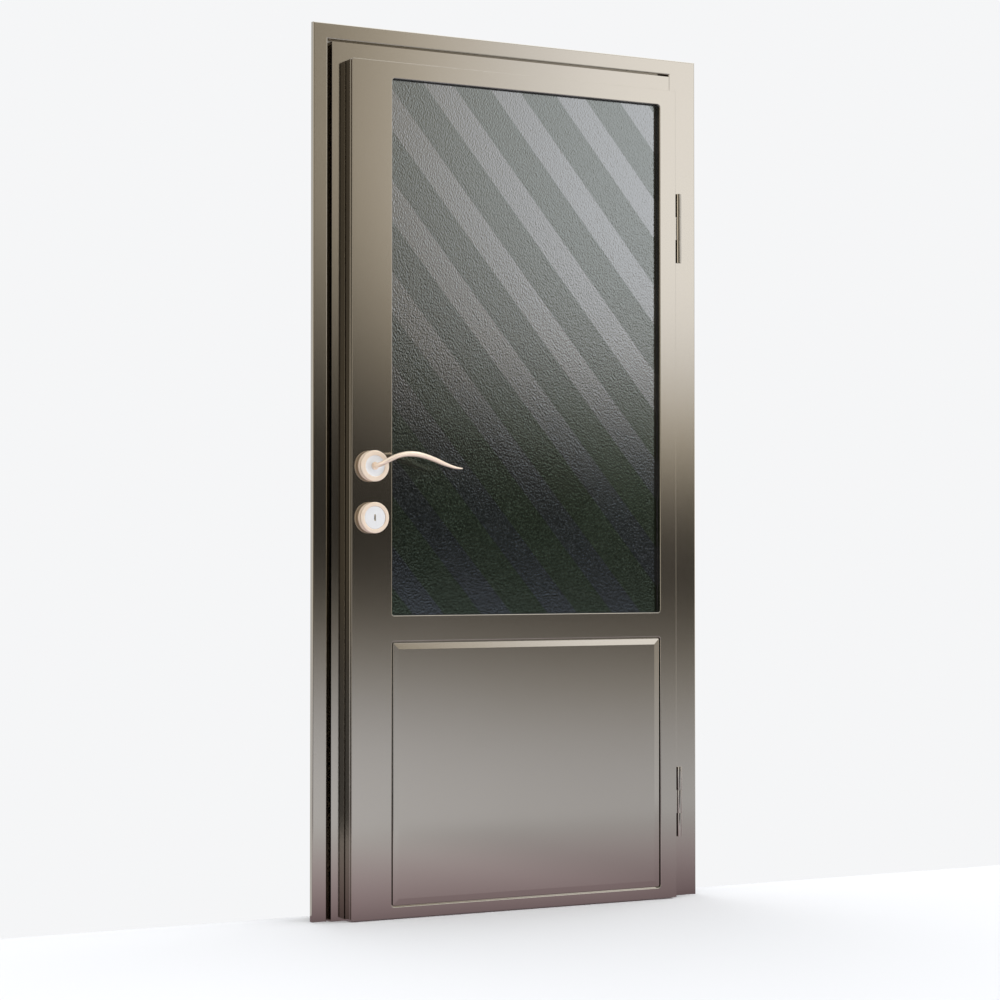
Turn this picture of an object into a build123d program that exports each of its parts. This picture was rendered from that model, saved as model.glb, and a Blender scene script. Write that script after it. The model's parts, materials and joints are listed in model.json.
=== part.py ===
from build123d import *
import os
from math import pi, radians, tan

# A single-leaf entrance door in its metal frame: glass above, a raised panel below, a wave lever and a round key plate.
# Frame of reference: X to the right and Y into the wall, seen from outside; Z up from the floor; y = 0 is the wall's face.

# Whole door
overall_width = 1044.0
overall_height = 2070.0

# Casing, the band round the frame that covers the wall's edge
casing_width = 36.5
hinge_casing_width = 77.0
casing_depth = 12.0
casing_wall = 2.0
casing_arris = 2.5

# Frame profile, a folded tube
frame_wall = 2.0
frame_face_proud = 8.5
groove_width = 7.0
hinge_groove_width = 4.0
groove_depth = 14.0
jamb_face_show = 34.5
head_face_show = 41.0
jamb_face_width = 47.5
head_face_width = 53.5
hinge_face_width = 23.0
frame_back = 70.0
shoulder_width = 4.5
hinge_shoulder_width = 55.0
fixing_hole_radius = 5.0
fixing_hole_y = 45.0
fixing_foot = 200.0
fixing_head = 270.0
fixing_inner_spread = 600.0

# Threshold
threshold_height = 20.0
threshold_nose = 4.0
threshold_rib_pitch = 9.0
threshold_rib_depth = 1.5
threshold_rib_width = 3.0
threshold_rib_margin = 6.0
threshold_ribs = 5

# Leaf
leaf_proud = 45.0
floor_gap = 2.5
hinge_gap = 4.0
flange_gap = 3.0
skin = 2.0
leaf_corner = 3.0
leaf_arris = 1.0
edge_lip = 2.5
edge_groove_width = 8.5
edge_groove_depth = 1.5
edge_ledge_arris = 1.3
flange_arris = 1.0
leaf_back = 20.0
body_side_gap = 6.0
body_hinge_gap = 5.0
body_foot_gap = 5.0

# Glass opening and lower panel, as widths of the metal round them
lock_stile_width = 103.0
hinge_stile_width = 46.0
top_rail_width = 38.0
mid_rail_width = 60.0
bottom_rail_width = 25.5
lower_opening_height = 612.0
opening_corner = 7.0
opening_arris = 1.7
recess_depth = 15.0

# Glazing
outer_glass_thickness = 6.0
cavity_width = 12.0
inner_glass_thickness = 6.0
glass_cover = 12.0
gasket_thickness = 2.0
gasket_lip = 1.5
bead_wall = 1.5
bead_joint = 0.2
spacer_width = 9.0
block_length = 100.0
block_thickness = 2.0
block_spread = 430.0
ring_inset = 2.0

# Lower panel
panel_gap = 3.0
panel_recess = 10.0
panel_sheet = 2.0
panel_arris = 2.0
panel_slope_width = 13.0
panel_slope_drop = 1.0
panel_lip = 10.0

# Inner stiles and rails
tube_wall = 2.5
edge_tube_clearance = 1.5
rail_clearance = 1.0
stile_clearance = 5.0
board_side_gap = 4.0
board_head_gap = 0.5

# Lever and roses
handle_height = 1045.0
backset = 50.5
rose_radius = 36.0
rose_flange_radius = 35.5
rose_waist_radius = 32.0
rose_depth = 19.0
rose_flange_depth = 5.0
rose_waist_start = 6.5
rose_waist_end = 9.5
rose_head_start = 11.0
rose_rim = 1.5
rose_ledge = 1.5
backplate_width = 40.0
backplate_end = 56.0
backplate_depth = 12.0
backplate_edge = 3.0
rose_disc_radius = 24.5
rose_disc_recess = 0.7
rose_disc_thickness = 2.5
rose_seat = 15.3
disc_dish = 0.8
disc_rim_gap = 0.1
disc_edge = 0.5
cassette_wall = 1.5
cassette_floor = 3.0
lever_reach = 55.0
lever_shank_radius = 9.0
shank_clearance = 0.3
spindle_side = 8.0
spindle_clearance = 0.05
spindle_end_gap = 0.5
shank_proud = 1.0
window_clearance = 3.0

# Key plate and cylinder
key_drop = 119.0
key_disc_radius = 26.5
key_disc_clearance = 0.3
key_slot_width = 4.0
key_slot_height = 15.0
cylinder_radius = 8.5
cylinder_web_width = 10.0
cylinder_drop = 24.0
cylinder_bridge = 10.5
cylinder_screw_rise = 5.0
cylinder_screw_reach = 3.0
cylinder_window_margin = 2.0
cylinder_setback = 0.5
plug_radius = 6.5
running_clearance = 0.05
keyway_width = 2.6
keyway_height = 9.0
keyway_depth = 25.0
turn_collar = 3.0
turn_reach = 20.0
turn_height = 34.0
turn_width = 22.0
turn_thickness = 11.0
turn_root_height = 24.5
turn_root_thickness = 8.8
turn_edge = 1.5

# Lock
lock_y = -1.0
case_thickness = 16.0
case_wall = 1.5
case_depth = 61.0
case_foot = 49.0
case_head = 63.0
forend_width = 22.0
forend_thickness = 2.5
forend_margin = 14.0
case_screw_radius = 2.2
screw_clearance = 0.1
countersink_land = 0.6
forend_screw_length = 16.0
bolt_thickness = 9.6
bolt_clearance = 0.4
gear_module = 1.4
gear_addendum = 1.2
gear_dedendum = 1.2
tooth_tip_narrowing = 1.5
tooth_root_widening = 0.5
gear_teeth = 10
gear_width = 10.0
rack_addendum = 0.8
rack_dedendum = 1.6
rack_flank_angle = 20.0
rack_teeth = 7
gear_play = 0.35
deadbolt_height = 27.0
deadbolt_nose = 1.5
deadbolt_tail_gap = 2.0
latch_height = 18.0
latch_rise = 19.0
latch_head_length = 20.0
latch_bevel = 9.0
latch_tip = 2.0
latch_tail_length = 29.0
latch_lug = 4.0
lug_clearance = 2.0
latch_plane_gap = 1.0
follower_radius = 13.0
follower_journal = 9.0
follower_arm = 24.0
strike_thickness = 1.5
strike_width = 24.0
strike_margin = 24.0
strike_screw_radius = 2.2
strike_screw_head_radius = 4.0
strike_corner = 3.0
strike_slot_corner = 1.0
strike_slot_margin = 1.5
jamb_slot_extra = 0.5
strike_screw_length = 12.0
strike_head = 0.8

# Hinges
knuckle_radius = 7.2
knuckle_height = 56.8
knuckle_gap = 0.3
knuckle_crown = 0.35
hinge_pin_radius = 3.5
pivot_out = 11.0
pivot_back = 5.0
hinge_plate = 3.0
hinge_plate_offset = 0.4
hinge_plate_seat_gap = 0.1
knuckle_neck = 1.3
knuckle_root = 1.0
leaf_plate_setback = 4.0
pin_inset = 0.2
lower_hinge_height = 150.0
upper_hinge_drop = 425.0

# Seal
seal_width = 8.0
seal_clearance = 0.3
seal_inset = 2.5
seal_round = 1.2

# Places worked out from the sizes above
left = -overall_width / 2
right = overall_width / 2
casing_front = -casing_depth
face_y = casing_front - frame_face_proud

lock_casing_edge = left + casing_width
hinge_casing_edge = right - hinge_casing_width
head_casing_edge = overall_height - casing_width
jamb_edge = lock_casing_edge + groove_width
hinge_jamb_edge = hinge_casing_edge - hinge_groove_width
head_edge = head_casing_edge - groove_width

leaf_left = jamb_edge + jamb_face_show
leaf_right = hinge_jamb_edge - hinge_gap
leaf_bottom = floor_gap
leaf_top = head_edge - head_face_show
leaf_front = casing_front - leaf_proud
flange_back = face_y - flange_gap

jamb_inner = jamb_edge + jamb_face_width
hinge_jamb_inner = hinge_jamb_edge - hinge_face_width
head_inner = head_edge - head_face_width
jamb_web = lock_casing_edge - shoulder_width
hinge_jamb_web = hinge_casing_edge + hinge_shoulder_width
head_web = head_casing_edge + shoulder_width

body_left = jamb_inner + body_side_gap
body_right = hinge_jamb_inner - body_hinge_gap
body_top = head_inner - body_side_gap
body_bottom = threshold_height + body_foot_gap

opening_left = leaf_left + lock_stile_width
opening_right = leaf_right - hinge_stile_width
glass_top = leaf_top - top_rail_width
lower_bottom = leaf_bottom + bottom_rail_width
lower_top = lower_bottom + lower_opening_height
glass_bottom = lower_top + mid_rail_width

handle_x = leaf_left + backset
key_height = handle_height - key_drop
case_bottom = key_height - case_foot
case_top = handle_height + case_head
pivot_x = leaf_right + pivot_out
pivot_y = leaf_front + pivot_back

outer_glass_front = leaf_front + recess_depth
collar_end = outer_glass_front - gasket_thickness
outer_glass_back = outer_glass_front + outer_glass_thickness
inner_glass_front = outer_glass_back + cavity_width
inner_glass_back = inner_glass_front + inner_glass_thickness
bead_front = inner_glass_back + gasket_thickness
pane_left = opening_left - glass_cover
pane_right = opening_right + glass_cover
pane_bottom = glass_bottom - glass_cover
pane_top = glass_top + glass_cover


def front_plane(y):
    """The upright plane at a depth y, with its sketch seen from outside; extrusions run towards the viewer."""
    return Plane.XZ.offset(-y)


def field(x0, x1, z0, z1, corner=0.0, mode=Mode.ADD):
    """A rectangle between two edges and two heights, with rounded corners if asked."""
    with Locations(((x0 + x1) / 2, (z0 + z1) / 2)):
        if corner > 0:
            RectangleRounded(x1 - x0, z1 - z0, corner, mode=mode)
        else:
            Rectangle(x1 - x0, z1 - z0, mode=mode)


def finish(piece, label):
    """Names a finished piece and writes it."""
    piece.part.label = label
    export_step(piece.part, f"parts/{label}.step")


def frame_outline(inner, edge, shoulder, web, upright=True):
    """The folded profile of a frame member, as points across the member and into the wall."""
    across_and_depth = [
        (edge, face_y),
        (inner, face_y),
        (inner, frame_back),
        (web, frame_back),
        (web, 0.0),
        (shoulder, 0.0),
        (shoulder, groove_depth),
        (edge, groove_depth),
    ]
    if upright:
        return across_and_depth
    return [(depth, across) for across, depth in across_and_depth]


def folded_profile(points):
    """A closed tube of the frame's sheet round an outline."""
    Polygon(*points, align=None)
    offset(amount=-frame_wall, kind=Kind.INTERSECTION, mode=Mode.SUBTRACT)


os.makedirs("parts", exist_ok=True)

# Frame: lock-side jamb, mitred to the head
mitre = Plane(origin=(jamb_edge, 0, head_edge), z_dir=(head_face_width, 0, jamb_face_width))
hinge_mitre = Plane(origin=(hinge_jamb_edge, 0, head_edge), z_dir=(-head_face_width, 0, hinge_face_width))
strike_bottom = case_bottom - strike_margin
strike_top = case_top + strike_margin
bolt_low = lock_y - bolt_thickness / 2
bolt_high = lock_y + bolt_thickness / 2
gear_pitch_radius = gear_module * gear_teeth / 2
rack_line = key_height + gear_pitch_radius
rack_root = rack_line + rack_dedendum
deadbolt_top = rack_root + deadbolt_height
latch_bottom = handle_height + latch_rise
latch_top = latch_bottom + latch_height
strike_slots = (
    (rack_root - strike_slot_margin, deadbolt_top + strike_slot_margin),
    (latch_bottom - strike_slot_margin, latch_top + strike_slot_margin),
)
strike_holes = (strike_bottom + strike_margin / 3, strike_top - strike_margin / 3)
fixing_top = overall_height - fixing_head
fixing_middle = (fixing_foot + fixing_top) / 2
fixing_heights = (
    fixing_foot,
    fixing_middle - fixing_inner_spread / 2,
    fixing_middle + fixing_inner_spread / 2,
    fixing_top,
)
fixing_points = [(fixing_hole_y, height) for height in fixing_heights]

with BuildPart() as lock_jamb:
    with BuildSketch(Plane.XY):
        folded_profile(frame_outline(jamb_inner, jamb_edge, lock_casing_edge, jamb_web))
    extrude(amount=head_web)
    split(bisect_by=mitre, keep=Keep.BOTTOM)
    with BuildSketch(Plane.YZ.offset(jamb_web)):
        with Locations(*fixing_points):
            Circle(fixing_hole_radius)
    extrude(amount=jamb_inner - jamb_web, mode=Mode.SUBTRACT)
    with BuildSketch(Plane.YZ.offset(jamb_inner)):
        slot_spread = strike_slot_margin + jamb_slot_extra
        for low, high in strike_slots:
            field(bolt_low - slot_spread, bolt_high + slot_spread, low - jamb_slot_extra, high + jamb_slot_extra)
        for height in strike_holes:
            with Locations((lock_y, height)):
                Circle(strike_screw_radius)
    extrude(amount=-frame_wall, mode=Mode.SUBTRACT)
finish(lock_jamb, "lock_jamb")

# Hinge-side jamb, a wider tube mitred to the head across its face
with BuildPart() as hinge_jamb:
    with BuildSketch(Plane.XY):
        folded_profile(frame_outline(hinge_jamb_inner, hinge_jamb_edge, hinge_casing_edge, hinge_jamb_web))
    extrude(amount=head_web)
    split(bisect_by=hinge_mitre, keep=Keep.BOTTOM)
    with BuildSketch(Plane.YZ.offset(hinge_jamb_inner)):
        with Locations(*fixing_points):
            Circle(fixing_hole_radius)
    extrude(amount=hinge_jamb_web - hinge_jamb_inner, mode=Mode.SUBTRACT)
finish(hinge_jamb, "hinge_jamb")

# Head, mitred to both jambs
with BuildPart() as head_jamb:
    with BuildSketch(Plane.YZ.offset(jamb_web)):
        folded_profile(frame_outline(head_inner, head_edge, head_casing_edge, head_web, upright=False))
    extrude(amount=hinge_jamb_web - jamb_web)
    split(bisect_by=mitre, keep=Keep.TOP)
    split(bisect_by=hinge_mitre, keep=Keep.TOP)
finish(head_jamb, "head_jamb")

# Threshold: a low sill between the jambs, rounded at its back and grooved on top for grip
rib_length = hinge_jamb_inner - jamb_inner - 2 * threshold_rib_margin

with BuildPart() as threshold:
    with BuildSketch(Plane.YZ.offset(jamb_inner)):
        field(face_y, frame_back, 0, threshold_height)
    extrude(amount=hinge_jamb_inner - jamb_inner)
    fillet(threshold.edges().filter_by(Axis.X).group_by(Axis.Z)[-1].sort_by(Axis.Y)[-1], threshold_nose)
    with Locations(((jamb_inner + hinge_jamb_inner) / 2, (leaf_back + frame_back) / 2, threshold_height)):
        with GridLocations(1, threshold_rib_pitch, 1, threshold_ribs):
            Box(rib_length, threshold_rib_width, 2 * threshold_rib_depth, mode=Mode.SUBTRACT)
finish(threshold, "threshold")


def casing_channel(near, far, upright=True):
    """The casing's section: a shallow channel, open towards the wall."""
    channel = [
        (near, 0.0),
        (near, casing_front),
        (far, casing_front),
        (far, 0.0),
        (far - casing_wall, 0.0),
        (far - casing_wall, casing_front + casing_wall),
        (near + casing_wall, casing_front + casing_wall),
        (near + casing_wall, 0.0),
    ]
    Polygon(*[point if upright else point[::-1] for point in channel], align=None)


casing_mitre = Plane(origin=(lock_casing_edge, 0, head_casing_edge), z_dir=(1, 0, 1))
hinge_casing_mitre = Plane(
    origin=(hinge_casing_edge, 0, head_casing_edge),
    z_dir=(-casing_width, 0, hinge_casing_width),
)

with BuildPart() as lock_casing:
    with BuildSketch(Plane.XY):
        casing_channel(left, lock_casing_edge)
    extrude(amount=overall_height)
    fillet(lock_casing.edges().filter_by(Axis.Z).group_by(Axis.Y)[0], casing_arris)
    split(bisect_by=casing_mitre, keep=Keep.BOTTOM)
finish(lock_casing, "lock_casing")

with BuildPart() as head_casing:
    with BuildSketch(Plane.YZ.offset(left)):
        casing_channel(head_casing_edge, overall_height, upright=False)
    extrude(amount=right - left)
    fillet(head_casing.edges().filter_by(Axis.X).group_by(Axis.Y)[0], casing_arris)
    split(bisect_by=casing_mitre, keep=Keep.TOP)
    split(bisect_by=hinge_casing_mitre, keep=Keep.TOP)
finish(head_casing, "head_casing")

with BuildPart() as hinge_casing:
    with BuildSketch(Plane.XY):
        casing_channel(hinge_casing_edge, right)
    extrude(amount=overall_height)
    fillet(hinge_casing.edges().filter_by(Axis.Z).group_by(Axis.Y)[0], casing_arris)
    split(bisect_by=hinge_casing_mitre, keep=Keep.BOTTOM)
finish(hinge_casing, "hinge_casing")

# Seal: one closed ring on the frame's face, behind the leaf's flange
with BuildPart() as frame_seal:
    with BuildSketch(front_plane(face_y)):
        seal_left = jamb_inner - seal_inset
        seal_right = hinge_jamb_inner + seal_inset
        seal_head = head_inner + seal_inset
        seal_foot = threshold_height - seal_inset
        field(seal_left - seal_width, seal_right + seal_width, seal_foot - seal_width, seal_head + seal_width)
        field(seal_left, seal_right, seal_foot, seal_head, mode=Mode.SUBTRACT)
    extrude(amount=flange_gap - seal_clearance)
    fillet(frame_seal.faces().sort_by(Axis.Y)[0].edges(), seal_round)
finish(frame_seal, "frame_seal")

# Leaf: outside skin, a tray grooved round its edge, with collars folded in round the glass and the lower panel
edge_wall = skin + edge_groove_depth
ledge_front = leaf_front + edge_lip + edge_groove_width
panel_seat = leaf_front + panel_recess
leaf_middle = (leaf_front + leaf_back) / 2
hand_planes = front_plane(leaf_middle)
cylinder_window_drop = cylinder_drop / 2 - cylinder_radius / 2
cylinder_window_width = 2 * cylinder_radius + cylinder_window_margin
cylinder_window_height = cylinder_drop + cylinder_radius + cylinder_window_margin


def hardware_windows():
    """The windows for the spindle and the cylinder, hidden behind the roses."""
    with Locations((handle_x, handle_height)):
        Circle(lever_shank_radius + window_clearance)
    with Locations((handle_x, key_height - cylinder_window_drop)):
        RectangleRounded(cylinder_window_width, cylinder_window_height, cylinder_radius)


with BuildPart() as outside_skin:
    with BuildSketch(front_plane(flange_back)):
        field(leaf_left, leaf_right, leaf_bottom, leaf_top, leaf_corner)
    extrude(amount=flange_back - ledge_front)
    fillet(outside_skin.faces().sort_by(Axis.Y)[0].edges(), edge_ledge_arris)
    fillet(outside_skin.faces().sort_by(Axis.Y)[-1].edges(), flange_arris)
    with BuildSketch(front_plane(ledge_front)):
        field(
            leaf_left + edge_groove_depth,
            leaf_right - edge_groove_depth,
            leaf_bottom + edge_groove_depth,
            leaf_top - edge_groove_depth,
            leaf_corner - edge_groove_depth,
        )
    extrude(amount=edge_groove_width)
    with BuildSketch(front_plane(leaf_front + edge_lip)):
        field(leaf_left, leaf_right, leaf_bottom, leaf_top, leaf_corner)
    extrude(amount=edge_lip)
    fillet(outside_skin.faces().sort_by(Axis.Y)[0].edges(), leaf_arris)
    with BuildSketch(front_plane(flange_back - skin)):
        field(leaf_left + edge_wall, leaf_right - edge_wall, leaf_bottom + edge_wall, leaf_top - edge_wall)
    extrude(amount=flange_back - leaf_front - 2 * skin, mode=Mode.SUBTRACT)
    with BuildSketch(front_plane(flange_back)):
        field(body_left + skin, body_right - skin, body_bottom + skin, body_top - skin)
    extrude(amount=skin, mode=Mode.SUBTRACT)
    for low, high, collar_back in (
        (glass_bottom, glass_top, collar_end),
        (lower_bottom, lower_top, panel_seat + skin),
    ):
        with BuildSketch(front_plane(collar_back)):
            field(opening_left - skin, opening_right + skin, low - skin, high + skin, opening_corner + skin)
        extrude(amount=collar_back - leaf_front - skin)
    with BuildSketch(front_plane(collar_end)):
        field(opening_left, opening_right, glass_bottom, glass_top, opening_corner)
    extrude(amount=collar_end - leaf_front, mode=Mode.SUBTRACT)
    with BuildSketch(front_plane(panel_seat)):
        field(opening_left, opening_right, lower_bottom, lower_top, opening_corner)
    extrude(amount=panel_recess, mode=Mode.SUBTRACT)
    with BuildSketch(front_plane(panel_seat + skin)):
        field(opening_left + panel_lip, opening_right - panel_lip, lower_bottom + panel_lip, lower_top - panel_lip)
    extrude(amount=skin, mode=Mode.SUBTRACT)
    front = outside_skin.faces().filter_by(Axis.Y).sort_by(Axis.Y)[0]
    fillet([edge for wire in front.inner_wires() for edge in wire.edges()], opening_arris)
    with BuildSketch(front_plane(leaf_front + skin)):
        hardware_windows()
    extrude(amount=skin, mode=Mode.SUBTRACT)
finish(outside_skin, "outside_skin")

# Leaf: inside skin, a smaller tray that the frame's stop takes
forend_bottom = case_bottom - forend_margin
forend_top = case_top + forend_margin

with BuildPart() as inside_skin:
    with BuildSketch(front_plane(leaf_back)):
        field(body_left, body_right, body_bottom, body_top)
    extrude(amount=leaf_back - flange_back)
    fillet(inside_skin.faces().sort_by(Axis.Y)[-1].edges(), skin)
    with BuildSketch(front_plane(leaf_back - skin)):
        field(body_left + skin, body_right - skin, body_bottom + skin, body_top - skin)
    extrude(amount=leaf_back - skin - flange_back, mode=Mode.SUBTRACT)
    with BuildSketch(front_plane(leaf_back - skin)):
        field(opening_left - skin, opening_right + skin, lower_bottom - skin / 2, lower_top + skin)
    extrude(amount=panel_recess)
    with BuildSketch(front_plane(leaf_back)):
        field(opening_left, opening_right, lower_bottom, lower_top, opening_corner)
        field(pane_left, pane_right, pane_bottom, pane_top)
        hardware_windows()
    extrude(amount=skin, mode=Mode.SUBTRACT)
    with BuildSketch(front_plane(leaf_back - skin)):
        field(opening_left, opening_right, lower_bottom, lower_top, opening_corner)
    extrude(amount=panel_recess - skin, mode=Mode.SUBTRACT)
    with BuildSketch(front_plane(leaf_back - panel_recess)):
        field(opening_left + panel_lip, opening_right - panel_lip, lower_bottom + panel_lip, lower_top - panel_lip)
    extrude(amount=skin, mode=Mode.SUBTRACT)
    with BuildSketch(Plane.YZ.offset(body_left)):
        field(lock_y - forend_width / 2, lock_y + forend_width / 2, forend_bottom, forend_top)
    extrude(amount=skin, mode=Mode.SUBTRACT)
finish(inside_skin, "inside_skin")

# Leaf: stiles and rails between the skins
stile_left = body_left + forend_thickness
stile_right = pane_left - stile_clearance
tube_front = leaf_front + skin
edge_tube_back = flange_back - skin
rail_foot = leaf_bottom + edge_wall
rail_top = lower_bottom - skin - rail_clearance
upper_rail_foot = pane_top + edge_tube_clearance
hinge_stile_left = pane_right + skin
mid_rail_foot = lower_top + skin
mid_rail_top = pane_bottom - block_thickness


def tube_section(x0, x1, z0, z1):
    """A rectangular tube's section."""
    field(x0, x1, z0, z1)
    field(x0 + tube_wall, x1 - tube_wall, z0 + tube_wall, z1 - tube_wall, mode=Mode.SUBTRACT)


with BuildPart() as lock_stile:
    with BuildSketch(Plane.XY.offset(body_bottom + skin)):
        tube_section(stile_left, stile_right, tube_front, leaf_back - skin)
    extrude(amount=upper_rail_foot - body_bottom - skin)
    with BuildSketch(front_plane(leaf_back - skin)):
        hardware_windows()
    extrude(amount=leaf_back - leaf_front - 2 * skin, mode=Mode.SUBTRACT)
    with BuildSketch(Plane.YZ.offset(stile_left)):
        field(lock_y - case_thickness / 2, lock_y + case_thickness / 2, case_bottom, case_top)
        with Locations((lock_y, forend_bottom + forend_margin / 2), (lock_y, forend_top - forend_margin / 2)):
            Circle(case_screw_radius)
    extrude(amount=tube_wall, mode=Mode.SUBTRACT)
finish(lock_stile, "lock_stile")

with BuildPart() as hinge_stile:
    with BuildSketch(Plane.XY.offset(rail_top)):
        tube_section(hinge_stile_left, leaf_right - edge_wall, tube_front, edge_tube_back)
    extrude(amount=upper_rail_foot - rail_top)
finish(hinge_stile, "hinge_stile")

with BuildPart() as top_rail:
    with BuildSketch(Plane.YZ.offset(leaf_left + edge_wall)):
        tube_section(tube_front, edge_tube_back, upper_rail_foot, leaf_top - edge_wall)
    extrude(amount=leaf_right - leaf_left - 2 * edge_wall)
finish(top_rail, "top_rail")

with BuildPart() as mid_rail:
    with BuildSketch(Plane.YZ.offset(stile_right)):
        tube_section(tube_front, leaf_back - skin, mid_rail_foot, mid_rail_top)
    extrude(amount=hinge_stile_left - stile_right)
finish(mid_rail, "mid_rail")

with BuildPart() as bottom_rail:
    with BuildSketch(Plane.YZ.offset(leaf_left + edge_wall)):
        tube_section(tube_front, edge_tube_back, rail_foot, rail_top)
    extrude(amount=leaf_right - leaf_left - 2 * edge_wall)
finish(bottom_rail, "bottom_rail")

# Lower panel: outside and inside trays with a sloped border, and the insulating board between them
panel_left = opening_left + panel_gap
panel_right = opening_right - panel_gap
panel_bottom = lower_bottom + panel_gap
panel_top = lower_top - panel_gap
panel_corner = opening_corner - panel_gap

with BuildPart() as outside_panel:
    with BuildSketch(front_plane(panel_seat)):
        field(panel_left, panel_right, panel_bottom, panel_top, panel_corner)
    extrude(amount=panel_recess - panel_slope_drop)
    fillet(outside_panel.faces().sort_by(Axis.Y)[0].edges(), panel_arris)
    with BuildSketch(front_plane(leaf_front + panel_slope_drop)):
        field(panel_left + panel_arris, panel_right - panel_arris, panel_bottom + panel_arris, panel_top - panel_arris)
    with BuildSketch(front_plane(leaf_front)):
        border = panel_arris + panel_slope_width
        field(panel_left + border, panel_right - border, panel_bottom + border, panel_top - border)
    loft()
    with BuildSketch(front_plane(panel_seat)):
        field(
            panel_left + panel_sheet,
            panel_right - panel_sheet,
            panel_bottom + panel_sheet,
            panel_top - panel_sheet,
        )
    extrude(amount=panel_recess - panel_slope_drop - panel_sheet, mode=Mode.SUBTRACT)
finish(outside_panel, "outside_panel")

with BuildPart() as inside_panel:
    mirror(outside_panel.part, about=hand_planes)
finish(inside_panel, "inside_panel")

board_left = stile_right + board_side_gap
board_right = hinge_stile_left - board_side_gap

with BuildPart() as insulation_board:
    with BuildSketch(front_plane(leaf_back - panel_recess - skin)):
        field(board_left, board_right, body_bottom + skin, mid_rail_foot - board_head_gap)
    extrude(amount=leaf_back - leaf_front - 2 * panel_recess - 2 * skin)
finish(insulation_board, "insulation_board")

# Glazing: two panes with a spacer, gaskets, blocks under the panes and beads on the inside
with BuildPart() as outer_glass:
    with BuildSketch(front_plane(outer_glass_back)):
        field(pane_left, pane_right, pane_bottom, pane_top)
    extrude(amount=outer_glass_thickness)
finish(outer_glass, "outer_glass")

with BuildPart() as inner_glass:
    with BuildSketch(front_plane(inner_glass_back)):
        field(pane_left, pane_right, pane_bottom, pane_top)
    extrude(amount=inner_glass_thickness)
finish(inner_glass, "inner_glass")


def pane_ring(label, back, depth, outer_inset, inner_inset, corner=0.0):
    """A closed ring that follows the pane's edge."""
    with BuildPart() as ring:
        with BuildSketch(front_plane(back)):
            for inset, edge_mode in ((outer_inset, Mode.ADD), (inner_inset, Mode.SUBTRACT)):
                field(
                    pane_left + inset,
                    pane_right - inset,
                    pane_bottom + inset,
                    pane_top - inset,
                    corner if edge_mode == Mode.SUBTRACT else 0.0,
                    edge_mode,
                )
        extrude(amount=depth)
    finish(ring, label)


pane_ring("glass_spacer", inner_glass_front, cavity_width, ring_inset, ring_inset + spacer_width)
pane_ring("outer_gasket", outer_glass_front, gasket_thickness, ring_inset, glass_cover + gasket_lip, opening_corner)
pane_ring("inner_gasket", bead_front, gasket_thickness, ring_inset, glass_cover + gasket_lip, opening_corner)

with BuildPart() as setting_blocks:
    with BuildSketch(Plane.XY.offset(mid_rail_top)):
        with Locations(((pane_left + pane_right) / 2, (outer_glass_front + inner_glass_back) / 2)):
            with GridLocations(block_spread, 1, 2, 1):
                Rectangle(block_length, inner_glass_back - outer_glass_front)
    extrude(amount=block_thickness)
finish(setting_blocks, "setting_blocks")

with BuildPart() as glazing_beads:
    with BuildSketch(front_plane(leaf_back)):
        field(pane_left, pane_right, pane_bottom, pane_top)
        field(opening_left, opening_right, glass_bottom, glass_top, mode=Mode.SUBTRACT)
    extrude(amount=leaf_back - bead_front)
    with BuildSketch(front_plane(leaf_back - bead_wall)):
        field(pane_left + bead_wall, pane_right - bead_wall, pane_bottom + bead_wall, pane_top - bead_wall)
        field(
            opening_left - bead_wall,
            opening_right + bead_wall,
            glass_bottom - bead_wall,
            glass_top + bead_wall,
            mode=Mode.SUBTRACT,
        )
    extrude(amount=leaf_back - bead_front - bead_wall, mode=Mode.SUBTRACT)
    with BuildSketch(front_plane(leaf_back)):
        for joint in (glass_bottom, glass_top):
            field(pane_left, opening_left, joint - bead_joint / 2, joint + bead_joint / 2)
            field(opening_right, pane_right, joint - bead_joint / 2, joint + bead_joint / 2)
    extrude(amount=leaf_back - bead_front, mode=Mode.SUBTRACT)
finish(glazing_beads, "glazing_beads")

# Lock: case with its windows for the bolts, the follower and the cylinder
case_left = stile_left
case_right = case_left + case_depth
case_rear = lock_y + case_thickness / 2
latch_nose = body_left
screw_heights = (forend_bottom + forend_margin / 2, forend_top - forend_margin / 2)
cylinder_screw_height = key_height - cylinder_drop + cylinder_screw_rise
follower_gap = case_wall / 5


def bolt_windows(margin):
    """The windows in an edge plate for the latch and the deadbolt."""
    for low, high in ((latch_bottom, latch_top), (rack_root, deadbolt_top)):
        field(bolt_low - margin, bolt_high + margin, low - margin, high + margin)


def cylinder_outline(clearance):
    """The cylinder's profile: a barrel with a flat web hanging below it."""
    with Locations((handle_x, key_height)):
        Circle(cylinder_radius + clearance)
    with Locations((handle_x, key_height - cylinder_drop / 2)):
        Rectangle(cylinder_web_width + 2 * clearance, cylinder_drop + 2 * clearance)


with BuildPart() as lock_case:
    with BuildSketch(front_plane(case_rear)):
        field(case_left, case_right, case_bottom, case_top)
    extrude(amount=case_thickness)
    with BuildSketch(front_plane(case_rear - case_wall)):
        field(case_left + case_wall, case_right - case_wall, case_bottom + case_wall, case_top - case_wall)
    extrude(amount=case_thickness - 2 * case_wall, mode=Mode.SUBTRACT)
    with BuildSketch(front_plane(case_rear)):
        cylinder_outline(bolt_clearance)
        with Locations((handle_x, handle_height)):
            Circle(follower_journal + running_clearance)
    extrude(amount=case_thickness, mode=Mode.SUBTRACT)
    with BuildSketch(Plane.YZ.offset(case_left)):
        bolt_windows(bolt_clearance)
        with Locations((lock_y, cylinder_screw_height)):
            Circle(case_screw_radius)
    extrude(amount=case_wall, mode=Mode.SUBTRACT)
finish(lock_case, "lock_case")

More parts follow.
